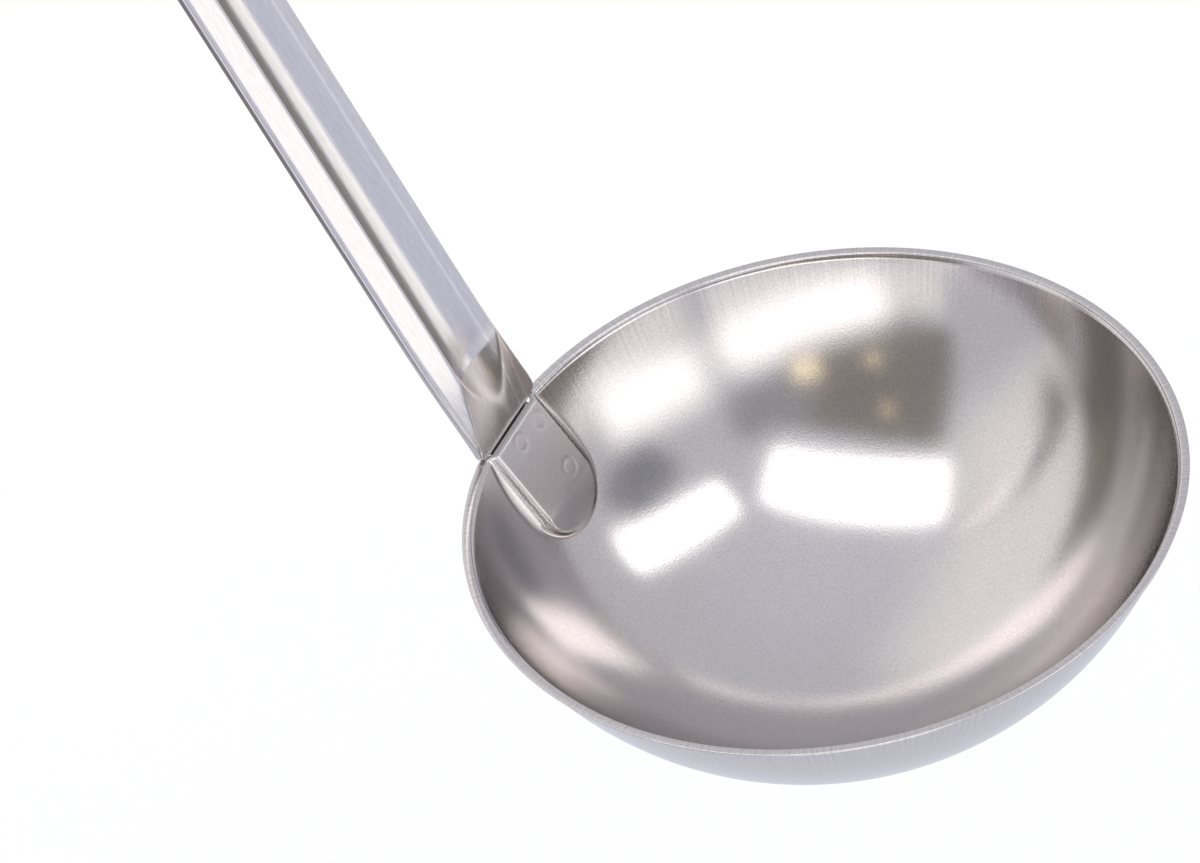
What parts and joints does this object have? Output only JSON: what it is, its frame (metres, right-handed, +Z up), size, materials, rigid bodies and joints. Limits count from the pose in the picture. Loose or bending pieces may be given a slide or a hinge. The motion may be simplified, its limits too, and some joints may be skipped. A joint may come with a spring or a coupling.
{
  "type": "soup ladle",
  "caption": "Round pressed-steel soup ladle: a thin dish with a flared rim, spot-welded to the tab of a long channelled strip handle that ends in a hanging hole.",
  "frame": {"origin": "middle of the hanging hole, halfway through the sheet", "axes": "+Z up with the rim level, as the ladle is held over a plate; the handle leans out over -X from the bowl, and Y is across it"},
  "size_m": [0.1949, 0.1, 0.2779],
  "materials": {
    "bowl_steel": "satin, drum-polished stainless sheet",
    "handle_steel": "bright rolled stainless sheet",
    "weld_steel": "fused stainless, hidden between the sheets"
  },
  "bodies": {
    "root": {"bowl": "bowl_steel", "handle": "handle_steel", "weld_nugget_upper_left": "weld_steel", "weld_nugget_upper_right": "weld_steel", "weld_nugget_lower": "weld_steel"}
  },
  "joints": []
}
